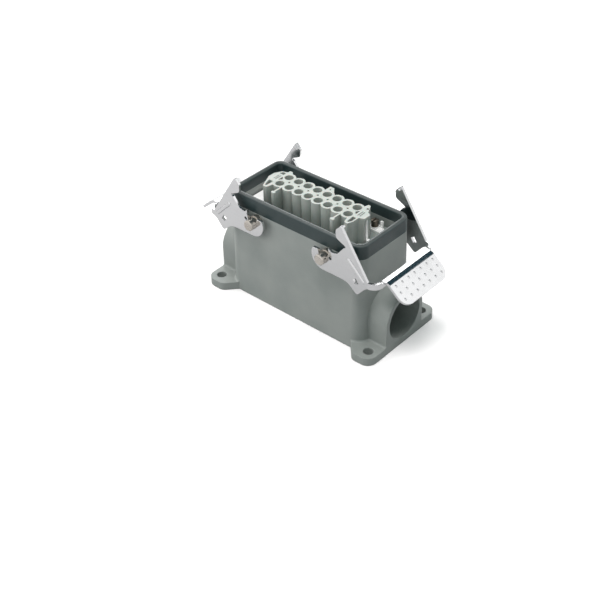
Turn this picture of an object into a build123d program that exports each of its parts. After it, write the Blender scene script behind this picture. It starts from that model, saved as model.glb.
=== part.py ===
from build123d import *
from math import cos, radians, sin, tan
import os

os.makedirs("parts", exist_ok=True)

# Housing box, widening from the rim down to the foot
rim_half_x = 45.1
rim_half_y = 20.1
rim_z = 63.0
rim_corner_r = 5.5
draft = 1.4
foot_growth = rim_z * tan(radians(draft))
foot_half_x = rim_half_x + foot_growth
foot_half_y = rim_half_y + foot_growth

# Mounting footprint, 105 by 45 between the holes
hole_pitch_x = 2 * (rim_half_x + 7.4)
hole_pitch_y = 2 * (rim_half_y + 2.4)
mount_hole_r = 2.75
lug_edge_x = 5.7
lug_edge_y = 6.3
lug_height = 4.5
lug_corner_r = 5.5
lug_joint_r = 1.2
lug_slant_x = 7.6
lug_root_x = foot_half_x - 7.7
base_half_x = hole_pitch_x / 2 + lug_edge_x
base_half_y = hole_pitch_y / 2 + lug_edge_y

# Cavity of the housing
floor_t = 3.0
cavity_inset = 2.8
cavity_half_x = rim_half_x - cavity_inset
cavity_half_y = rim_half_y - cavity_inset

# Rubber seal over the rim
seal_skirt_t = 0.8
seal_rim_t = cavity_inset - 2 * seal_skirt_t
seal_cap_t = 2.0
seal_outer_drop = 8.0
seal_inner_drop = 6.5
seal_round_r = 1.1
seal_bead_h = 0.25
seal_bead_w = 0.8

# Cable entry boss
entry_z = 16.5
entry_r = 12.6
boss_r = 15.0

# Insert and its fixing
flange_gap_x = 0.3
flange_gap_y = 0.4
flange_half_x = cavity_half_x - flange_gap_x
flange_half_y = cavity_half_y - flange_gap_y
flange_z = 48.5
flange_t = 3.0
flange_corner_r = rim_corner_r - cavity_inset - flange_gap_x
flange_top = flange_z + flange_t
fix_x = flange_half_x - 3.25
fix_y = flange_half_y - 3.4
fix_thread_r = 1.45
post_half = 3.0
screw_way_r = 1.7
mating_z = 66.5
insert_bottom_z = 31.5
block_half_x = 33.0
block_half_y = 12.6

# Contacts
contact_pitch = 6.6
row_pitch = 7.4
columns = 8
tower_r = 3.72
socket_mouth_r = 2.5
contact_body_r = 2.42
bore_gap = 0.08
contact_tube_r = 1.85
contact_pin_r = 1.27
contact_top_z = 61.0
wire_bore_r = 1.65
clamp_z = 38.0
clamp_screw_r = 1.45
clamp_way_r = 1.8

# Locking pins
pin_x = 24.2
pin_z = 51.4
pin_r = 3.0
pin_shank_r = 2.2
pin_collar_r = 3.5
pin_seat_y = rim_half_y + 0.1
pin_end_y = 28.2

# Locking levers, in millimetres from the pin axis
sheet_t = 1.5
plate_in_y = 23.1
plate_out_y = plate_in_y + sheet_t
plate_gap = 0.3
pin_fit = 0.05
lobe_r = 7.5
bend_u = 28.34
bend_r = 5.3
strip_top_w = -2.95
strip_low_w = -6.3
strip_notch_r = 0.8
bead_h = 0.7
handle_flange = 1.2
handle_bend_r = 3.8
handle_angle = 40.3
handle_length = 13.3
handle_half_y = 18.2
handle_corner_r = 6.0
dimple_rows = 3
dimples_in_row = 7
dimple_pitch = 5.0
dimple_row_pitch = 3.9
dimple_first = 1.9
dimple_r = 0.95
dimple_h = 0.3

# Ends of the insert
end_face_x = 32.6
slot_x = 30.3
slot_half_y = 1.7
slot_cap_t = 1.6
pocket_depth = 9.0
web_t = 0.9
web_x = 19.9
web_end_y = 12.2
web_post = (2.6, 1.9)
cut_margin = 1.0

# Earth contacts with their terminals
earth_t = 1.0
earth_margin = 0.5
earth_end_x = flange_half_x - earth_margin
earth_end_y = flange_half_y - earth_margin
earth_in_x = end_face_x + 1.0
earth_ear_x = 24.4
earth_ear_y = 14.3
earth_screw_x = 28.0
earth_washer = 4.2
earth_washer_t = 0.9
earth_screw_y = earth_ear_y - earth_washer / 2
earth_thread_r = 1.45
earth_thread_length = 4.4
earth_head_r = 2.0
earth_head_h = 3.6
thread_gap = 0.1
blade_x = 31.6
blade_w = 1.9
blade_y = 0.65
blade_h = 12.8
tab_x = 31.4
tab_w = 1.6
tab_h = 5.0

# Small screws
screw_seat_z = flange_top + earth_t + 0.7
screw_head_r = 2.4
screw_head_h = 2.0
screw_length = 14.0
clamp_leaf_y = 1.1
clamp_leaf_t = 0.15
leaf_size = (1.8, 9.0)
clamp_screw_length = 6.4


def at_pin(u, w):
    return (pin_x + u, pin_z + w)


def outline(corners):
    """A closed outline: each corner is its two coordinates and its rounding radius."""
    FilletPolyline(*[(a, b) for a, b, r in corners], radius=[r for a, b, r in corners], close=True)


def at_pins(corners):
    return [(*at_pin(u, w), r) for u, w, r in corners]


def rim_outline(inset, mode=Mode.ADD):
    """The rim's rounded rectangle, inset from its outer edge."""
    RectangleRounded(2 * (rim_half_x - inset), 2 * (rim_half_y - inset), rim_corner_r - inset, mode=mode)


def contact_grid():
    return GridLocations(contact_pitch, row_pitch, columns, 2)


def fixing_grid():
    return GridLocations(2 * fix_x, 2 * fix_y, 2, 2)


def earth_grid():
    return Locations((-earth_screw_x, earth_screw_y), (earth_screw_x, earth_screw_y))


# Outlines of the base with its lugs, and of the corner posts that carry the insert
base_outline = []
posts = []
for sx, sy in ((1, -1), (1, 1), (-1, 1), (-1, -1)):
    end_corner = (sx * base_half_x, sy * base_half_y, lug_corner_r)
    lug_inner = (sx * (lug_root_x + lug_slant_x), sy * base_half_y, 4.5)
    lug_root = (sx * lug_root_x, sy * (foot_half_y - lug_joint_r), 2.0)
    quarter = [lug_root, lug_inner, end_corner]
    base_outline += quarter if sx * sy < 0 else quarter[::-1]
    near_x = sx * (fix_x - post_half)
    near_y = sy * (fix_y - post_half)
    far_x = sx * (cavity_half_x + cut_margin)
    far_y = sy * (cavity_half_y + cut_margin)
    posts.append([(near_x, near_y, 2.5), (far_x, near_y, 0.2), (far_x, far_y, 0.2), (near_x, far_y, 0.2)])

# Housing, one die casting
with BuildPart() as housing:
    with BuildSketch():
        RectangleRounded(2 * foot_half_x, 2 * foot_half_y, rim_corner_r + foot_growth)
    extrude(amount=rim_z, taper=draft)
    with BuildSketch(Plane.YZ):
        with Locations((0, entry_z)):
            Circle(boss_r)
        with Locations((0, entry_z / 2)):
            Rectangle(2 * boss_r, entry_z)
    extrude(amount=base_half_x, both=True)
    with BuildSketch():
        with BuildLine():
            outline(base_outline)
        make_face()
    extrude(amount=lug_height)
    # Rounded joints of the lug tops with the walls
    lug_joints = housing.edges().filter_by_position(Axis.Z, lug_height, lug_height)
    walls = lug_joints.filter_by(lambda e: abs(e.center().Y) < foot_half_y + 0.5)
    fillet(walls.filter_by(lambda e: abs(e.center().X) < base_half_x - 1), radius=lug_joint_r)
    # Cavity with the four posts that carry the insert
    with BuildSketch(Plane.XY.offset(floor_t)):
        rim_outline(cavity_inset)
    extrude(amount=rim_z, mode=Mode.SUBTRACT)
    with BuildSketch(Plane.XY.offset(floor_t)):
        for corners in posts:
            with BuildLine():
                outline(corners)
            make_face()
    extrude(amount=flange_z - floor_t)
    # Seat of the seal: outer step, inner step and lowered rim
    with BuildSketch(Plane.XY.offset(rim_z - seal_outer_drop)):
        Rectangle(4 * rim_half_x, 4 * rim_half_y)
        rim_outline(seal_skirt_t, mode=Mode.SUBTRACT)
    extrude(amount=seal_outer_drop, mode=Mode.SUBTRACT)
    with BuildSketch(Plane.XY.offset(rim_z - seal_inner_drop)):
        rim_outline(seal_skirt_t + seal_rim_t)
    extrude(amount=seal_inner_drop, mode=Mode.SUBTRACT)
    with BuildSketch(Plane.XY.offset(rim_z - seal_cap_t)):
        Rectangle(4 * rim_half_x, 4 * rim_half_y)
    extrude(amount=seal_cap_t, mode=Mode.SUBTRACT)
    # Cable entry at the right end
    with BuildSketch(Plane.YZ.offset(cavity_half_x - cut_margin)):
        with Locations((0, entry_z)):
            Circle(entry_r)
    extrude(amount=base_half_x, mode=Mode.SUBTRACT)
    with GridLocations(hole_pitch_x, hole_pitch_y, 2, 2):
        Hole(mount_hole_r)
    with Locations(Plane.XY.offset(flange_z)):
        with fixing_grid():
            Hole(fix_thread_r + thread_gap, depth=screw_length - 2)
    # Seats of the locking pins through the long walls
    with BuildSketch(Plane.XZ):
        with GridLocations(2 * pin_x, 0, 2, 1):
            with Locations((0, pin_z)):
                Circle(pin_shank_r)
    extrude(amount=2 * rim_half_y, both=True, mode=Mode.SUBTRACT)
    for side in (-1, 1):
        with BuildSketch(Plane.XZ.offset(side * pin_seat_y)):
            with GridLocations(2 * pin_x, 0, 2, 1):
                with Locations((0, pin_z)):
                    Circle(pin_collar_r)
        extrude(amount=side * cut_margin, mode=Mode.SUBTRACT)
housing.part.label = "housing"
export_step(housing.part, "parts/housing.step")

# Seal, a rubber frame that wraps the rim inside and outside
with BuildPart() as rim_seal:
    with BuildSketch():
        RectangleRounded(2 * foot_half_x, 2 * foot_half_y, rim_corner_r + foot_growth)
    extrude(amount=rim_z, taper=draft)
    split(bisect_by=Plane.XY.offset(rim_z - seal_outer_drop), keep=Keep.TOP)
    with BuildSketch(Plane.XY.offset(rim_z)):
        rim_outline(cavity_inset)
    extrude(amount=-2 * seal_outer_drop, mode=Mode.SUBTRACT)
    fillet(rim_seal.edges().group_by(Axis.Z)[-1], radius=seal_round_r)
    with BuildSketch(Plane.XY.offset(rim_z - seal_cap_t / 2)):
        rim_outline((cavity_inset - seal_bead_w) / 2)
        rim_outline((cavity_inset + seal_bead_w) / 2, mode=Mode.SUBTRACT)
    extrude(amount=seal_cap_t / 2 + seal_bead_h)
    with BuildSketch(Plane.XY.offset(rim_z - seal_cap_t)):
        rim_outline(seal_skirt_t)
        rim_outline(seal_skirt_t + seal_rim_t, mode=Mode.SUBTRACT)
    extrude(amount=-seal_outer_drop, mode=Mode.SUBTRACT)
    with BuildSketch(Plane.XY.offset(rim_z - seal_inner_drop)):
        rim_outline(seal_skirt_t + seal_rim_t)
    extrude(amount=-seal_outer_drop, mode=Mode.SUBTRACT)
rim_seal.part.label = "rim_seal"
export_step(rim_seal.part, "parts/rim_seal.step")

# Locking pins, shouldered and pressed into the long walls
with BuildPart() as pin:
    with BuildSketch(Plane.XY):
        with BuildLine():
            Polyline(
                (0, cavity_half_y + 0.2),
                (pin_shank_r, cavity_half_y + 0.2),
                (pin_shank_r, pin_seat_y),
                (pin_collar_r, pin_seat_y),
                (pin_collar_r, plate_in_y - plate_gap),
                (pin_r, plate_in_y - plate_gap),
                (pin_r, pin_end_y - 0.5),
                (pin_r - 0.5, pin_end_y),
                (0, pin_end_y),
                close=True,
            )
        make_face()
    revolve(axis=Axis.Y)

with BuildPart() as locking_pins:
    for sx in (-1, 1):
        with Locations(Location((sx * pin_x, 0, pin_z)), Location((sx * pin_x, 0, pin_z), (0, 0, 180))):
            add(pin.part)
locking_pins.part.label = "locking_pins"
export_step(locking_pins.part, "parts/locking_pins.step")

# Locking lever: two hooked side plates and a handle, folded from one sheet
lever_edge = [
    (9.5, -lobe_r, 6.0),
    (15.5, -7.7, 8.0),
    (21.9, -13.0, 1.4),
    (26.5, -7.6, 1.0),
    (bend_u, strip_low_w, 0.3),
    (bend_u, strip_top_w, 0.3),
    (11.4, 23.3, 0.6),
    (8.2, 19.9, 1.8),
    (8.4, 15.4, 2.2),
    (13.4, 13.1, 0.5),
    (15.2, 12.0, 0.6),
    (13.3, 11.2, 0.4),
    (9.2, 6.1, 3.0),
    (5.9, 5.2, 1.6),
    (3.6, 6.2, 0.8),
    (3.9, 2.6, 0.2),
    (0.0, -2.0, 0.2),
    (0.0, -lobe_r, 0.2),
]
slot_left = [(-3.6, 5.0, 0.2), (3.9, 5.0, 0.2), (2.76, 1.2, 0.2), (-2.76, 1.2, 0.2)]
lobe_top = [(-9.0, 3.6, 0.2), (3.5, 3.6, 0.2), (3.5, 9.0, 0.2), (-9.0, 9.0, 0.2)]
bend_x = pin_x + bend_u
strip_x = bend_x + bend_r
strip_in_x = strip_x - sheet_t
strip_top_z = pin_z + strip_top_w
strip_edge = [
    (bend_x - cut_margin, -plate_out_y, 0.2),
    (strip_x, -plate_out_y, bend_r),
    (strip_x, plate_out_y, bend_r),
    (bend_x - cut_margin, plate_out_y, 0.2),
    (bend_x - cut_margin, plate_in_y, 0.2),
    (strip_in_x, plate_in_y, bend_r - sheet_t),
    (strip_in_x, -plate_in_y, bend_r - sheet_t),
    (bend_x - cut_margin, -plate_in_y, 0.2),
]
fold_x = strip_x + handle_flange
fold_z = strip_top_z - handle_bend_r
panel_along = (cos(radians(handle_angle)), -sin(radians(handle_angle)))
panel_out = (sin(radians(handle_angle)), cos(radians(handle_angle)))
panel_plane = Plane(
    origin=(fold_x + handle_bend_r * panel_out[0], 0, fold_z + handle_bend_r * panel_out[1]),
    x_dir=(panel_along[0], 0, panel_along[1]),
    z_dir=(panel_out[0], 0, panel_out[1]),
)
panel_edge = [
    (0, -handle_half_y, 0.2),
    (handle_length, -handle_half_y, handle_corner_r),
    (handle_length, handle_half_y, handle_corner_r),
    (0, handle_half_y, 0.2),
]

with BuildPart() as lever_right:
    with BuildSketch(Plane.XZ.offset(plate_in_y)):
        with Locations(at_pin(0, 0)):
            Circle(lobe_r)
        with BuildLine():
            outline(at_pins(lobe_top))
        make_face(mode=Mode.SUBTRACT)
        with BuildLine():
            outline(at_pins(lever_edge))
        make_face()
        with Locations(at_pin(0, 0)):
            Circle(pin_r + pin_fit, mode=Mode.SUBTRACT)
        with BuildLine():
            outline(at_pins(slot_left))
        make_face(mode=Mode.SUBTRACT)
        with Locations(at_pin(4.6, 1.4)):
            Circle(0.95, mode=Mode.SUBTRACT)
        with Locations(at_pin(20.9, -5.2)):
            Rectangle(2.4, 3.2, rotation=32, mode=Mode.SUBTRACT)
    extrude(amount=sheet_t)
    # Stiffening bead along the outer edge
    with BuildSketch(Plane.XZ.offset(plate_out_y - 0.2)):
        with Locations(at_pin(21.0, 1.0)):
            SlotCenterToCenter(12.6, 2.6, rotation=-44.4)
    extrude(amount=bead_h + 0.2, taper=35)
    # Lip of the hook, turned in
    with BuildSketch(Plane.XZ.offset(plate_in_y)):
        with Locations(at_pin(10.5, 21.0)):
            Rectangle(2.6, 1.2, rotation=46.7)
    extrude(amount=-1.8)
    mirror(about=Plane.XZ)
    # Cross strip, bent round from the side plates
    with BuildSketch(Plane.XY.offset(pin_z + strip_low_w)):
        with BuildLine():
            outline(strip_edge)
        make_face()
    extrude(amount=strip_top_w - strip_low_w)
    # Flange folded out from the strip's top, and the bend to the finger panel
    with BuildSketch(Plane.XZ):
        with BuildLine():
            outer_bend = CenterArc((fold_x, fold_z), handle_bend_r, 90, -handle_angle)
            inner_bend = CenterArc((fold_x, fold_z), handle_bend_r - sheet_t, 90, -handle_angle)
            Line(outer_bend @ 1, inner_bend @ 1)
            Polyline(
                inner_bend @ 0,
                (strip_in_x, strip_top_z - sheet_t),
                (strip_in_x, strip_top_z),
                outer_bend @ 0,
            )
        make_face()
    extrude(amount=handle_half_y, both=True)
    # Relief notches where the fold ends
    with BuildSketch(Plane.YZ.offset(strip_in_x - cut_margin)):
        with GridLocations(2 * (handle_half_y + strip_notch_r), 0, 2, 1):
            with Locations((0, strip_top_z)):
                Circle(strip_notch_r)
    extrude(amount=sheet_t + 2 * cut_margin, mode=Mode.SUBTRACT)
    # Finger panel with its raised dimples
    with BuildSketch(panel_plane):
        with BuildLine():
            outline(panel_edge)
        make_face()
    extrude(amount=-sheet_t)
    with Locations(panel_plane):
        with Locations((dimple_first + dimple_row_pitch, 0)):
            with GridLocations(dimple_row_pitch, dimple_pitch, dimple_rows, dimples_in_row):
                with Locations((0, 0, dimple_h - dimple_r)):
                    Sphere(dimple_r)
lever_right.part.label = "lever_right"
export_step(lever_right.part, "parts/lever_right.step")

with BuildPart() as lever_left:
    add(lever_right.part)
    mirror(about=Plane.YZ, mode=Mode.REPLACE)
lever_left.part.label = "lever_left"
export_step(lever_left.part, "parts/lever_left.step")

# Outlines of the end blocks, coding posts and pockets on the mating face
end_block_right = [
    (25.0, -6.2, 0.3),
    (26.3, -10.8, 1.2),
    (28.6, -11.0, 0.8),
    (29.7, -8.0, 1.0),
    (29.7, -3.4, 0.4),
    (end_face_x, -2.3, 0.4),
    (end_face_x, 2.3, 0.6),
    (30.3, 3.6, 0.4),
    (27.4, 9.2, 0.5),
    (26.0, 9.2, 0.4),
    (25.0, 6.2, 0.3),
]
end_block_left = [
    (-25.0, -6.2, 0.3),
    (-26.0, -10.8, 0.8),
    (-28.6, -11.0, 0.8),
    (-end_face_x, -1.9, 0.8),
    (-end_face_x, 2.2, 1.0),
    (-30.4, 6.2, 2.0),
    (-27.0, 7.4, 1.2),
    (-25.0, 6.2, 0.3),
]
middle_post = [(-0.5, 5.6, 0.2), (-0.5, 10.6, 0.4), (2.2, 10.6, 0.5), (5.6, 6.0, 0.3)]
left_post = [(-27.2, 5.6, 0.2), (-27.2, 9.1, 0.4), (-25.4, 9.1, 0.5), (-22.8, 6.4, 0.2)]
right_pocket = [(26.6, -4.1, 0.4), (28.9, -4.1, 0.4), (28.9, -7.8, 0.4), (28.1, -9.6, 0.4), (27.2, -9.6, 0.4)]
left_pocket = [(-27.2, -4.3, 0.4), (-30.2, -4.3, 0.4), (-28.5, -9.6, 0.4), (-27.3, -9.6, 0.4)]
back_pocket = [(-27.3, 3.9, 0.3), (-30.6, 3.9, 0.4), (-29.2, 6.0, 0.8), (-27.3, 6.3, 0.3)]
middle_pocket = [(24.7, 0.3, 0.2), (26.4, 2.4, 0.2), (26.4, -1.8, 0.2)]
flipped_middle = [(-x, y, r) for x, y, r in middle_pocket]
pockets = (right_pocket, left_pocket, back_pocket, middle_pocket, flipped_middle)

# Insert body: flange for the fixing screws, with the terminal block below it
with BuildPart() as insert_body:
    with BuildSketch(Plane.XY.offset(flange_z)):
        RectangleRounded(2 * flange_half_x, 2 * flange_half_y, flange_corner_r)
    extrude(amount=flange_t)
    with BuildSketch(Plane.XY.offset(insert_bottom_z)):
        RectangleRounded(2 * block_half_x, 2 * block_half_y, 1.5)
    extrude(amount=flange_z - insert_bottom_z)
    # Grooves between the terminal chambers and the parting gap between the rows
    with BuildSketch(Plane.XY.offset(insert_bottom_z)):
        with GridLocations(contact_pitch, 2 * block_half_y, columns + 1, 2):
            Rectangle(1.2, 3.0)
        Rectangle(2 * block_half_x - 4, 1.6)
    extrude(amount=flange_z - insert_bottom_z - 2, mode=Mode.SUBTRACT)
    with Locations(Plane.XY.offset(flange_top)):
        with contact_grid():
            Hole(contact_body_r + bore_gap, depth=flange_top - insert_bottom_z)
        with fixing_grid():
            Hole(screw_way_r, depth=flange_t)
        with earth_grid():
            Hole(earth_thread_r + thread_gap, depth=flange_t)
    # Side ways to the clamp screws
    with BuildSketch(Plane.XZ):
        with Locations((0, clamp_z)):
            with GridLocations(contact_pitch, 0, columns, 1):
                Circle(clamp_way_r)
    extrude(amount=2 * block_half_y, both=True, mode=Mode.SUBTRACT)
insert_body.part.label = "insert_body"
export_step(insert_body.part, "parts/insert_body.step")

# Socket block: the towers over the contacts with end blocks, webs and coding posts
with BuildPart() as socket_block:
    with BuildSketch(Plane.XY.offset(flange_top)):
        with contact_grid():
            Circle(tower_r)
        Rectangle(contact_pitch * columns, row_pitch)
        for corners in (end_block_right, end_block_left, middle_post, left_post):
            with BuildLine():
                outline(corners)
            make_face()
        for sx in (-1, 1):
            with Locations((sx * web_x, -(row_pitch / 2 + web_end_y) / 2)):
                Rectangle(web_t, web_end_y - row_pitch / 2)
            with Locations((sx * web_x, -web_end_y)):
                SlotOverall(*web_post)
    extrude(amount=mating_z - flange_top)
    # Pockets let in from the mating face
    with BuildSketch(Plane.XY.offset(mating_z)):
        for corners in pockets:
            with BuildLine():
                outline(corners)
            make_face()
        with GridLocations(contact_pitch, 0, columns - 1, 1):
            Circle(0.65)
        with Locations((28.1, 6.0)):
            Circle(0.75)
        with Locations((1.5, 8.2)):
            Circle(0.5)
        for sx in (-1, 1):
            for x in (27.9, 29.1):
                with Locations((sx * x, 0.3)):
                    Rectangle(0.5, 4.6)
    extrude(amount=-pocket_depth, mode=Mode.SUBTRACT)
    # Upright slots of the earth contacts, closed by a cap at the top
    with BuildSketch(Plane.XY.offset(flange_top)):
        with GridLocations(2 * end_face_x, 0, 2, 1):
            Rectangle(2 * (end_face_x - slot_x), 2 * slot_half_y)
    extrude(amount=mating_z - flange_top - slot_cap_t, mode=Mode.SUBTRACT)
    # Contact ways: wide mouth, then a guide round the contact's tube
    with Locations(Plane.XY.offset(mating_z)):
        with contact_grid():
            CounterBoreHole(contact_tube_r + bore_gap, socket_mouth_r, mating_z - contact_top_z)
socket_block.part.label = "socket_block"
export_step(socket_block.part, "parts/socket_block.step")

# Socket contacts, turned, with a wire bore below and a pin bore above
with BuildPart() as contact:
    with BuildSketch(Plane.XZ):
        with BuildLine():
            Polyline(
                (wire_bore_r, insert_bottom_z + 0.5),
                (contact_body_r, insert_bottom_z + 0.5),
                (contact_body_r, flange_top - 0.1),
                (contact_tube_r, flange_top - 0.1),
                (contact_tube_r, contact_top_z - 0.4),
                (contact_tube_r - 0.3, contact_top_z),
                (contact_pin_r + 0.2, contact_top_z),
                (contact_pin_r, contact_top_z - 0.4),
                (contact_pin_r, flange_top),
                (0, flange_top),
                (0, clamp_z + 7),
                (wire_bore_r, clamp_z + 7),
                close=True,
            )
        make_face()
    revolve(axis=Axis.Z)
    with BuildSketch(Plane.XZ):
        with Locations((0, clamp_z)):
            Circle(clamp_screw_r + 0.05)
    extrude(amount=contact_body_r + 1, mode=Mode.SUBTRACT)
    # Spring slit across the mouth
    with BuildSketch(Plane.XY.offset(contact_top_z)):
        Rectangle(0.4, 2 * contact_tube_r + 1)
    extrude(amount=-7, mode=Mode.SUBTRACT)

# Clamp screw of a contact, seen from the side of the insert
with BuildPart() as clamp_screw:
    with BuildSketch(Plane.XZ.offset(clamp_leaf_y + 0.2)):
        with Locations((0, clamp_z)):
            Circle(clamp_screw_r)
    extrude(amount=clamp_screw_length)
    with BuildSketch(Plane.XZ.offset(clamp_leaf_y + 0.2 + clamp_screw_length)):
        with Locations((0, clamp_z)):
            Rectangle(2 * clamp_screw_r + 1, 0.5)
    extrude(amount=-0.8, mode=Mode.SUBTRACT)

# Leaf that the clamp screw presses on the wire
with BuildPart() as clamp_leaf:
    with BuildSketch(Plane.XZ.offset(clamp_leaf_y)):
        with Locations((0, clamp_z - 0.5)):
            Rectangle(*leaf_size)
    extrude(amount=clamp_leaf_t)


def row_of(piece, front):
    """The places of one row's pieces: the front row faces -Y, the back row +Y."""
    half_turn = 0 if front else 180
    y = -row_pitch / 2 if front else row_pitch / 2
    places = []
    for column in range(columns):
        x = (column - (columns - 1) / 2) * contact_pitch
        places.append(Location((x, y, 0), (0, 0, half_turn)))
    with BuildPart() as row:
        with Locations(*places):
            add(piece.part)
    return row


for name, piece in (("socket_contacts", contact), ("clamp_screws", clamp_screw), ("clamp_leaves", clamp_leaf)):
    for end, front in (("front", True), ("back", False)):
        row = row_of(piece, front)
        row.part.label = f"{name}_{end}"
        export_step(row.part, f"parts/{name}_{end}.step")

# Earth plates: sheet on the flange, ear for the terminal, tab and contact blade
earth_edge = [
    (blade_x - earth_t / 2, blade_y - blade_w / 2, 0.2),
    (earth_in_x, blade_y - blade_w / 2, 0.4),
    (earth_in_x, -earth_end_y, 1.0),
    (earth_end_x, -earth_end_y, 1.0),
    (earth_end_x, earth_end_y, 1.0),
    (earth_in_x + 1.8, earth_end_y, 1.0),
    (earth_in_x + 0.6, earth_ear_y - 2.4, 0.8),
    (earth_in_x - 1.2, earth_ear_y, 1.0),
    (earth_ear_x, earth_ear_y, 1.0),
    (earth_ear_x, 9.6, 1.0),
    (earth_in_x, 9.6, 0.8),
    (earth_in_x, blade_y + blade_w / 2, 0.4),
    (blade_x - earth_t / 2, blade_y + blade_w / 2, 0.2),
]
with BuildPart() as earth_plate_right:
    with BuildSketch(Plane.XY.offset(flange_top)):
        with BuildLine():
            outline(earth_edge)
        make_face()
        with fixing_grid():
            Circle(screw_way_r, mode=Mode.SUBTRACT)
        with earth_grid():
            Circle(earth_thread_r + thread_gap, mode=Mode.SUBTRACT)
    extrude(amount=earth_t)
    with BuildSketch(Plane.XY.offset(flange_top)):
        with Locations((blade_x, blade_y)):
            Rectangle(earth_t, blade_w)
    extrude(amount=blade_h)
    with BuildSketch(Plane.XY.offset(flange_top)):
        with Locations((tab_x, earth_ear_y - earth_t / 2)):
            Rectangle(tab_w, earth_t)
    extrude(amount=tab_h)
earth_plate_right.part.label = "earth_plate_right"
export_step(earth_plate_right.part, "parts/earth_plate_right.step")

with BuildPart() as earth_plate_left:
    add(earth_plate_right.part)
    mirror(about=Plane.YZ, mode=Mode.REPLACE)
earth_plate_left.part.label = "earth_plate_left"
export_step(earth_plate_left.part, "parts/earth_plate_left.step")

# Square washers and slotted screws of the earth terminals
with BuildPart() as earth_washers:
    with BuildSketch(Plane.XY.offset(flange_top + earth_t)):
        with earth_grid():
            RectangleRounded(earth_washer, earth_washer, 0.6)
            Circle(earth_thread_r + thread_gap, mode=Mode.SUBTRACT)
    extrude(amount=earth_washer_t)
earth_washers.part.label = "earth_washers"
export_step(earth_washers.part, "parts/earth_washers.step")

with BuildPart() as earth_screws:
    with Locations(Plane.XY.offset(flange_top + earth_t + earth_washer_t)):
        with earth_grid():
            Cylinder(earth_head_r, earth_head_h, align=(Align.CENTER, Align.CENTER, Align.MIN))
            Cylinder(earth_thread_r, earth_thread_length, align=(Align.CENTER, Align.CENTER, Align.MAX))
            with Locations((0, 0, earth_head_h)):
                Box(0.7, 3 * earth_head_r, 2.2, mode=Mode.SUBTRACT)
earth_screws.part.label = "earth_screws"
export_step(earth_screws.part, "parts/earth_screws.step")

# Captive fixing screws of the insert with their spring washers
with BuildPart() as insert_screw:
    with BuildSketch(Plane.XZ):
        with BuildLine():
            Polyline(
                (0, screw_seat_z - screw_length),
                (fix_thread_r - 0.35, screw_seat_z - screw_length),
                (fix_thread_r, screw_seat_z - screw_length + 1),
                (fix_thread_r, screw_seat_z),
                (screw_head_r, screw_seat_z),
                (screw_head_r, screw_seat_z + screw_head_h - 0.6),
                (screw_head_r - 0.7, screw_seat_z + screw_head_h),
                (0, screw_seat_z + screw_head_h),
                close=True,
            )
        make_face()
    revolve(axis=Axis.Z)
    with BuildSketch(Plane.XY.offset(screw_seat_z + screw_head_h)):
        Rectangle(3 * screw_head_r, 0.7)
    extrude(amount=-screw_head_h / 2, mode=Mode.SUBTRACT)

with BuildPart() as insert_screws:
    with fixing_grid():
        add(insert_screw.part)
insert_screws.part.label = "insert_screws"
export_step(insert_screws.part, "parts/insert_screws.step")

with BuildPart() as insert_screw_washers:
    with BuildSketch(Plane.XY.offset(flange_top + earth_t)):
        with fixing_grid():
            Circle(screw_head_r)
            Circle(fix_thread_r + 0.15, mode=Mode.SUBTRACT)
        with fixing_grid():
            with Locations((screw_head_r - 0.4, 0)):
                Rectangle(1.4, 0.4, mode=Mode.SUBTRACT)
    extrude(amount=screw_seat_z - flange_top - earth_t)
insert_screw_washers.part.label = "insert_screw_washers"
export_step(insert_screw_washers.part, "parts/insert_screw_washers.step")
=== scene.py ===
"""Looks of the surface mounting half of a heavy duty rectangular connector."""

import math

import bmesh
import bpy
from mathutils import Matrix, Vector


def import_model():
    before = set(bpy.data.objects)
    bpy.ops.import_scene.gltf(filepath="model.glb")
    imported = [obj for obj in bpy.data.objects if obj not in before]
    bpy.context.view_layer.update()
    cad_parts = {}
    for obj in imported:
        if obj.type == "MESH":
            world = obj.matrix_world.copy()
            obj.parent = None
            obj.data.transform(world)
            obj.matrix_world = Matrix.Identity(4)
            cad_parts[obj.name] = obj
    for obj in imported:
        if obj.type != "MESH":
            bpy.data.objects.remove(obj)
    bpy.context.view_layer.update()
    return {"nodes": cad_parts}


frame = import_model()
nodes = frame["nodes"]
scene = bpy.context.scene
AIM = Vector((0.0, 0.0, 0.035))
LAMP_COLOUR = (1.0, 0.95, 0.95)

# Heights above the mounting face, in metres
SEAL_SIDE_TOP = 0.0622
SEAL_TOP = 0.0629
TOWER_FOOT = 0.049
TOWER_TOP = 0.065

# Reach of the floor from the object, in metres
FLOOR_HALF = 6.0
FLOOR_DROP = 0.0002
NEAR_FLOOR = 0.25
FAR_FLOOR = 1.0


# Shader helpers


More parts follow.
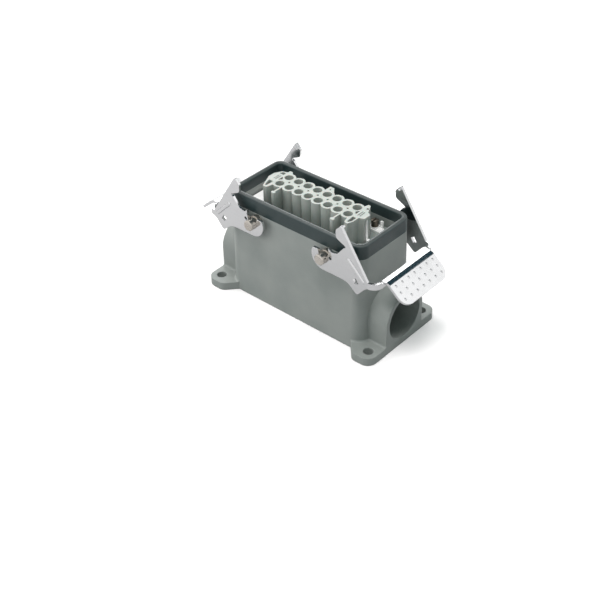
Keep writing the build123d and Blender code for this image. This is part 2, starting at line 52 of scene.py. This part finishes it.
class Tree:
    """Adds and joins the shader nodes of one material or node group."""

    def __init__(self, tree):
        self.tree = tree

    def add(self, kind, **settings):
        node = self.tree.nodes.new(kind)
        for name, value in settings.items():
            setattr(node, name, value)
        return node

    def put(self, socket, value):
        """Joins an output to the socket, or sets the socket's own value."""
        if isinstance(value, bpy.types.NodeSocket):
            self.tree.links.new(value, socket)
        else:
            socket.default_value = value

    def noise(self, vector, scale, detail=2.0, roughness=0.5):
        node = self.add("ShaderNodeTexNoise")
        self.put(node.inputs["Vector"], vector)
        self.put(node.inputs["Scale"], scale)
        self.put(node.inputs["Detail"], detail)
        self.put(node.inputs["Roughness"], roughness)
        return node.outputs["Fac"]

    def spread(self, value, low, high, to_low=0.0, to_high=1.0):
        """Maps the range low..high of a value to a new range, clamped."""
        node = self.add("ShaderNodeMapRange")
        self.put(node.inputs["Value"], value)
        for name, number in (("From Min", low), ("From Max", high), ("To Min", to_low), ("To Max", to_high)):
            self.put(node.inputs[name], number)
        return node.outputs["Result"]

    def math(self, operation, a, b=0.0):
        node = self.add("ShaderNodeMath", operation=operation)
        self.put(node.inputs[0], a)
        self.put(node.inputs[1], b)
        return node.outputs[0]

    def mix(self, factor, a, b):
        node = self.add("ShaderNodeMix", data_type="RGBA")
        self.put(node.inputs["Factor"], factor)
        self.put(node.inputs["A"], a)
        self.put(node.inputs["B"], b)
        return node.outputs["Result"]

    def place(self, scale=(1, 1, 1), turn=(0, 0, 0)):
        """Object coordinates, turned and stretched."""
        where = self.add("ShaderNodeTexCoord")
        mapping = self.add("ShaderNodeMapping")
        self.put(mapping.inputs["Vector"], where.outputs["Object"])
        self.put(mapping.inputs["Scale"], scale)
        self.put(mapping.inputs["Rotation"], turn)
        return mapping.outputs["Vector"]

    def height(self, low, high, to_low=0.0, to_high=1.0):
        """Maps a range of heights above the mounting face, in metres, to a range of values."""
        split = self.add("ShaderNodeSeparateXYZ")
        self.put(split.inputs[0], self.place())
        return self.spread(split.outputs["Z"], low, high, to_low, to_high)

    def bump(self, height, strength, distance, normal=None):
        node = self.add("ShaderNodeBump")
        self.put(node.inputs["Height"], height)
        self.put(node.inputs["Strength"], strength)
        self.put(node.inputs["Distance"], distance)
        if normal is not None:
            self.put(node.inputs["Normal"], normal)
        return node.outputs["Normal"]

    def group(self, tree, **values):
        node = self.add("ShaderNodeGroup", node_tree=tree)
        for name, value in values.items():
            self.put(node.inputs[name], value)
        return node.outputs


def new_group(name, inputs, outputs):
    """An empty node group with named sockets: its tree, its inputs and the sockets it puts out."""
    tree = bpy.data.node_groups.new(name, "ShaderNodeTree")
    for label, kind, value in inputs:
        socket = tree.interface.new_socket(label, in_out="INPUT", socket_type=kind)
        if value is not None:
            socket.default_value = value
    for label, kind in outputs:
        tree.interface.new_socket(label, in_out="OUTPUT", socket_type=kind)
    t = Tree(tree)
    return t, t.add("NodeGroupInput").outputs, t.add("NodeGroupOutput").inputs


def edge_wear_and_highlight_group():
    """Softened edges: a rounded normal and a mask that is 1 where the surface turns sharply."""
    t, given, out = new_group(
        "edge_wear_and_highlight",
        [("Radius", "NodeSocketFloat", 0.0004), ("Breakup", "NodeSocketFloat", 300.0)],
        [("Mask", "NodeSocketFloat"), ("Normal", "NodeSocketVector")],
    )
    rounded = t.add("ShaderNodeBevel", samples=6)
    t.put(rounded.inputs["Radius"], given["Radius"])
    flat = t.add("ShaderNodeNewGeometry")
    agree = t.add("ShaderNodeVectorMath", operation="DOT_PRODUCT")
    t.put(agree.inputs[0], rounded.outputs["Normal"])
    t.put(agree.inputs[1], flat.outputs["Normal"])
    turning = t.spread(agree.outputs["Value"], 0.99, 0.8)
    broken = t.spread(t.noise(t.place(), given["Breakup"], 4.0), 0.3, 0.6)
    t.put(out["Mask"], t.math("MULTIPLY", turning, broken))
    t.put(out["Normal"], rounded.outputs["Normal"])
    return t.tree


def grain_group():
    """Fine grain in two sizes, with a slow drift over the whole piece."""
    t, given, out = new_group(
        "grain",
        [
            ("Vector", "NodeSocketVector", None),
            ("Fine", "NodeSocketFloat", 3000.0),
            ("Coarse", "NodeSocketFloat", 600.0),
        ],
        [("Height", "NodeSocketFloat"), ("Drift", "NodeSocketFloat")],
    )
    fine = t.noise(given["Vector"], given["Fine"], 3.0, 0.6)
    coarse = t.noise(given["Vector"], given["Coarse"], 2.0)
    t.put(out["Height"], t.math("ADD", t.math("MULTIPLY", fine, 0.6), t.math("MULTIPLY", coarse, 0.4)))
    t.put(out["Drift"], t.noise(given["Vector"], 45.0, 3.0))
    return t.tree


def smudge_group():
    """Faint patches, as from handling and settled dust."""
    t, given, out = new_group(
        "smudge",
        [("Size", "NodeSocketFloat", 90.0), ("Amount", "NodeSocketFloat", 0.5)],
        [("Mask", "NodeSocketFloat")],
    )
    patches = t.spread(t.noise(t.place(), given["Size"], 5.0, 0.65), 0.45, 0.75)
    t.put(out["Mask"], t.math("MULTIPLY", patches, given["Amount"]))
    return t.tree


# The edge mask marks wear on the powder coat and the metal, and painted highlight on the seal and the insert.
EDGE_WEAR_AND_HIGHLIGHT = edge_wear_and_highlight_group()
GRAIN = grain_group()
SMUDGE = smudge_group()


def finish(name, **plain):
    """A new material: its tree and its shader, with the plain values set on the shader's own sockets."""
    material = bpy.data.materials.new(name)
    material.use_nodes = True
    t = Tree(material.node_tree)
    shader = material.node_tree.nodes["Principled BSDF"]
    for label, value in plain.items():
        shader.inputs[label.replace("_", " ").title().replace("Ior", "IOR")].default_value = value
    return material, t, shader.inputs


def tone(r, g, b):
    return (r, g, b, 1.0)


# Finishes


def powder_coat():
    """Grey green powder coat over the die casting: fine orange peel, paler worn edges."""
    material, t, shader = finish("powder_coat")
    grain = t.group(GRAIN, Vector=t.place(), Fine=2600.0, Coarse=900.0)
    edge = t.group(EDGE_WEAR_AND_HIGHLIGHT, Radius=0.0007, Breakup=500.0)
    dust = t.group(SMUDGE, Size=70.0, Amount=0.35)
    colour = t.mix(t.spread(grain["Drift"], 0.35, 0.65), tone(0.216, 0.242, 0.23), tone(0.256, 0.278, 0.264))
    speck = t.spread(t.noise(t.place(), 5200.0, 1.0), 0.62, 0.72, 0.0, 0.3)
    colour = t.mix(speck, colour, tone(0.33, 0.35, 0.34))
    colour = t.mix(t.math("MULTIPLY", edge["Mask"], 0.4), colour, tone(0.36, 0.39, 0.375))
    t.put(shader["Base Color"], t.mix(t.math("MULTIPLY", dust["Mask"], 0.3), colour, tone(0.28, 0.29, 0.275)))
    t.put(shader["Roughness"], t.spread(grain["Height"], 0.3, 0.7, 0.4, 0.52))
    t.put(shader["Normal"], t.bump(grain["Height"], 0.35, 0.00006, edge["Normal"]))
    return material


def seal_rubber():
    """Dark moulded rubber with a fine skin, paler edges and a paler, smoother top: the paleness of edges and
    top is painted highlight and sheen.
    """
    sheen = {"sheen_weight": 0.35, "sheen_roughness": 0.3, "sheen_tint": tone(0.8, 0.93, 0.95)}
    material, t, shader = finish("seal_rubber", **sheen)
    grain = t.group(GRAIN, Vector=t.place(), Fine=4000.0, Coarse=1200.0)
    edge = t.group(EDGE_WEAR_AND_HIGHLIGHT, Radius=0.0004, Breakup=350.0)
    bloom = t.group(SMUDGE, Size=120.0, Amount=0.5)
    colour = t.mix(t.spread(grain["Drift"], 0.35, 0.65), tone(0.012, 0.026, 0.027), tone(0.018, 0.034, 0.035))
    # Paler edges: painted highlight along the seal's edges.
    colour = t.mix(t.math("MULTIPLY", edge["Mask"], 0.5), colour, tone(0.1, 0.115, 0.115))
    colour = t.mix(t.math("MULTIPLY", bloom["Mask"], 0.3), colour, tone(0.07, 0.08, 0.08))
    # Paler top band by height: painted highlight and sheen on the seal's top; the same band also lowers the
    # roughness there.
    painted_sheen_top = t.height(SEAL_SIDE_TOP, SEAL_TOP)
    t.put(shader["Base Color"], t.mix(painted_sheen_top, colour, tone(0.07, 0.083, 0.082)))
    rough = t.spread(grain["Height"], 0.3, 0.7, 0.32, 0.44)
    t.put(shader["Roughness"], t.math("SUBTRACT", rough, t.math("MULTIPLY", painted_sheen_top, 0.08)))
    t.put(shader["Normal"], t.bump(grain["Height"], 0.25, 0.00004, edge["Normal"]))
    return material


def insert_plastic():
    """Light grey glass filled moulding: matt, with near white edges that are painted highlight, and darker
    with depth as painted shade.
    """
    material, t, shader = finish("insert_plastic", subsurface_weight=0.08, subsurface_scale=0.001)
    grain = t.group(GRAIN, Vector=t.place(), Fine=3200.0, Coarse=700.0)
    edge = t.group(EDGE_WEAR_AND_HIGHLIGHT, Radius=0.00025, Breakup=900.0)
    flow = t.noise(t.place(scale=(1, 1, 0.25)), 260.0, 5.0, 0.6)
    colour = t.mix(t.spread(flow, 0.35, 0.65), tone(0.355, 0.395, 0.365), tone(0.415, 0.445, 0.415))
    along = t.place(scale=(1, 1, 0.2), turn=(0, 0.4, 0))
    fibre = t.spread(t.noise(along, 5200.0, 1.0), 0.64, 0.74, 0.0, 0.25)
    colour = t.mix(fibre, colour, tone(0.62, 0.63, 0.6))
    # Near white edges: painted highlight on the rims of the towers.
    colour = t.mix(t.math("MULTIPLY", edge["Mask"], 0.8), colour, tone(0.82, 0.79, 0.76))
    # Darker toward the tower feet: painted shade down in the cavity.
    painted_depth_shade = t.height(TOWER_FOOT, TOWER_TOP, 0.75, 0.0)
    t.put(shader["Base Color"], t.mix(painted_depth_shade, colour, tone(0.14, 0.175, 0.165)))
    t.put(shader["Roughness"], t.spread(grain["Height"], 0.3, 0.7, 0.42, 0.58))
    t.put(shader["Normal"], t.bump(grain["Height"], 0.2, 0.00004, edge["Normal"]))
    return material


def lever_steel():
    """Bright rolled sheet: fine rolling lines, faint smudges and polished punched edges."""
    material, t, shader = finish("lever_steel", metallic=1.0, anisotropic=0.3)
    lines = t.noise(t.place(scale=(0.02, 1, 1)), 5200.0, 3.0, 0.65)
    edge = t.group(EDGE_WEAR_AND_HIGHLIGHT, Radius=0.0003, Breakup=600.0)
    touch = t.group(SMUDGE, Size=60.0, Amount=1.0)
    colour = t.mix(t.spread(lines, 0.3, 0.7), tone(0.66, 0.665, 0.67), tone(0.74, 0.746, 0.752))
    touched = t.math("MULTIPLY", touch["Mask"], 0.12)
    t.put(shader["Base Color"], t.mix(touched, colour, tone(0.62, 0.62, 0.61)))
    rough = t.spread(lines, 0.3, 0.7, 0.1, 0.17)
    t.put(shader["Roughness"], t.math("ADD", rough, t.math("MULTIPLY", touch["Mask"], 0.08)))
    t.put(shader["Normal"], t.bump(lines, 0.12, 0.00002, edge["Normal"]))
    return material


def turned_metal(name, dark, light, rough, metallic=1.0):
    """Turned or plated metal with the cloudiness of its plating; the tool rings are too fine to see."""
    material, t, shader = finish(name, metallic=metallic)
    grain = t.group(GRAIN, Vector=t.place(), Fine=5000.0, Coarse=1500.0)
    edge = t.group(EDGE_WEAR_AND_HIGHLIGHT, Radius=0.0002, Breakup=900.0)
    touch = t.group(SMUDGE, Size=300.0, Amount=0.6)
    colour = t.mix(t.spread(grain["Drift"], 0.3, 0.7), dark, light)
    t.put(shader["Base Color"], t.mix(t.math("MULTIPLY", edge["Mask"], 0.4), colour, tone(0.9, 0.88, 0.85)))
    t.put(shader["Roughness"], t.math("ADD", rough, t.math("MULTIPLY", touch["Mask"], 0.15)))
    t.put(shader["Normal"], t.bump(grain["Height"], 0.15, 0.00002, edge["Normal"]))
    return material


CONTACT_TONES = (tone(0.5, 0.49, 0.45), tone(0.7, 0.69, 0.64))
PLATE_TONES = (tone(0.93, 0.94, 0.93), tone(0.97, 0.98, 0.97))
FINISH_OF = {
    "housing": powder_coat(),
    "rim_seal": seal_rubber(),
    "insert_body": insert_plastic(),
    "lever_right": lever_steel(),
    "locking_pins": turned_metal("pin_metal", tone(0.5, 0.465, 0.415), tone(0.64, 0.6, 0.55), 0.25),
    "socket_contacts_front": turned_metal("contact_metal", *CONTACT_TONES, 0.35),
    "clamp_screws_front": turned_metal("screw_zinc", tone(0.5, 0.5, 0.48), tone(0.7, 0.7, 0.67), 0.35),
    "earth_plate_right": turned_metal("plate_tin", *PLATE_TONES, 0.35, 0.15),
    "earth_screws": turned_metal("earth_brass", tone(0.08, 0.07, 0.058), tone(0.16, 0.14, 0.11), 0.4),
}
SAME_FINISH = {
    "socket_block": "insert_body",
    "lever_left": "lever_right",
    "socket_contacts_back": "socket_contacts_front",
    "clamp_screws_back": "clamp_screws_front",
    "clamp_leaves_front": "clamp_screws_front",
    "clamp_leaves_back": "clamp_screws_front",
    "insert_screws": "clamp_screws_front",
    "insert_screw_washers": "clamp_screws_front",
    "earth_plate_left": "earth_plate_right",
    "earth_washers": "earth_plate_right",
}
for node_name, node in nodes.items():
    material = FINISH_OF[SAME_FINISH.get(node_name, node_name)]
    node.data.materials.clear()
    node.data.materials.append(material)


# Stage, lamps and camera


def grid_mesh(name, half):
    """A flat square in the scene, by half its side."""
    mesh = bpy.data.meshes.new(name)
    shape = bmesh.new()
    bmesh.ops.create_grid(shape, x_segments=1, y_segments=1, size=half)
    shape.to_mesh(mesh)
    shape.free()
    piece = bpy.data.objects.new(name, mesh)
    scene.collection.objects.link(piece)
    return piece


def floor():
    """Pale paper that takes the object's shadow and stays white to the eye far away."""
    piece = grid_mesh("floor", FLOOR_HALF)
    material, t, shader = finish("floor_paper", roughness=0.9, specular_ior_level=0.2)
    path = t.add("ShaderNodeLightPath")
    seen = t.math("MAXIMUM", path.outputs["Is Camera Ray"], path.outputs["Is Transmission Ray"])
    split = t.add("ShaderNodeSeparateXYZ")
    t.put(split.inputs[0], t.place())
    back = t.spread(split.outputs["Y"], 0.0, 0.06)
    left = t.spread(split.outputs["X"], 0.08, 0.02)
    behind = t.math("MULTIPLY", back, left)
    pale = t.math("MAXIMUM", seen, t.math("MULTIPLY", path.outputs["Is Glossy Ray"], behind))
    t.put(shader["Base Color"], t.mix(pale, tone(0.5, 0.5, 0.505), tone(0.97, 0.97, 0.97)))
    reach = t.add("ShaderNodeVectorMath", operation="LENGTH")
    t.put(reach.inputs[0], t.place())
    far = t.spread(reach.outputs["Value"], NEAR_FLOOR, FAR_FLOOR)
    shader["Emission Color"].default_value = tone(1.0, 1.0, 1.0)
    t.put(shader["Emission Strength"], t.math("MULTIPLY", path.outputs["Is Camera Ray"], far))
    piece.data.materials.append(material)
    piece.location.z = -FLOOR_DROP


def world():
    """A white room to the eye and in reflections, and a dimmer, cooler one as a light."""
    sky = bpy.data.worlds.new("studio")
    scene.world = sky
    sky.use_nodes = True
    t = Tree(sky.node_tree)
    base = sky.node_tree.nodes["Background"]
    path = t.add("ShaderNodeLightPath")
    seen = t.math("MAXIMUM", path.outputs["Is Camera Ray"], path.outputs["Is Glossy Ray"])
    seen = t.math("MAXIMUM", seen, path.outputs["Is Transmission Ray"])
    t.put(base.inputs["Strength"], t.spread(seen, 0.0, 1.0, 0.38, 1.0))
    t.put(base.inputs["Color"], t.mix(seen, tone(0.86, 1.0, 0.99), tone(1.0, 1.0, 1.0)))


def softbox(name, turn, lift, distance, size, power):
    """An area lamp aimed at the object, by its compass turn from +X, its lift and its distance."""
    turn, lift = math.radians(turn), math.radians(lift)
    away = Vector((math.cos(turn) * math.cos(lift), math.sin(turn) * math.cos(lift), math.sin(lift)))
    lamp = bpy.data.lights.new(name, "AREA")
    lamp.shape = "RECTANGLE"
    lamp.size, lamp.size_y = size
    lamp.energy = power
    lamp.color = LAMP_COLOUR
    holder = bpy.data.objects.new(name, lamp)
    scene.collection.objects.link(holder)
    holder.location = AIM + away * distance
    holder.rotation_euler = away.to_track_quat("Z", "Y").to_euler()
    holder.visible_glossy = False


def card(name, across, along, centre_x, brightness):
    """A card of the room above and behind, seen only in reflections: its reach, its place and its glow."""
    away = Vector((0.0, 0.59, 0.81)).normalized()
    piece = grid_mesh(name, 0.5)
    for corner in piece.data.vertices:
        corner.co.x *= 2 * across
        corner.co.y *= 2 * along
    turned = away.to_track_quat("Z", "Y").to_matrix().to_4x4()
    piece.matrix_world = Matrix.Translation(AIM + away + Vector((centre_x, 0.0, 0.0))) @ turned
    material, t, shader = finish(name, roughness=1.0, specular_ior_level=0.0)
    shader["Base Color"].default_value = tone(0.0, 0.0, 0.0)
    shader["Emission Color"].default_value = tone(*brightness)
    shader["Emission Strength"].default_value = 1.0
    piece.data.materials.append(material)
    for ray in ("camera", "diffuse", "shadow", "transmission", "volume_scatter"):
        setattr(piece, f"visible_{ray}", False)


def camera():
    """The photograph's view: where it stood, where it looked and its slight roll."""
    place = Vector((0.31833, -0.36570, 0.36474))
    aim = Vector((0.0175, -0.03493, 0.02756))
    roll = math.radians(-1.44)
    lens = bpy.data.cameras.new("photo_view")
    lens.sensor_width = 36.0
    lens.lens = 66.04
    lens.clip_start = 0.01
    holder = bpy.data.objects.new("photo_view", lens)
    scene.collection.objects.link(holder)
    level = (aim - place).to_track_quat("-Z", "Y").to_matrix()
    holder.matrix_world = Matrix.Translation(place) @ (level @ Matrix.Rotation(roll, 3, "Z")).to_4x4()
    scene.camera = holder


floor()
world()
card("dark_card", 0.495, 0.4, 0.065, (0.02, 0.05, 0.066))
card("pale_card_left", 0.35, 0.5, -0.78, (3.8, 3.8, 3.8))
card("pale_card_right", 0.35, 0.5, 0.91, (1.3, 1.3, 1.3))
softbox("front", 225.0, 22.0, 0.62, (0.5, 0.4), 2.2)
softbox("back_left", 166.0, 15.0, 1.1, (0.6, 0.5), 6.2)
softbox("back_right", 74.0, 46.0, 1.1, (0.4, 0.4), 4.9)
softbox("top", 300.0, 74.0, 1.1, (0.5, 0.5), 8.3)
camera()
scene.view_settings.view_transform = "Standard"
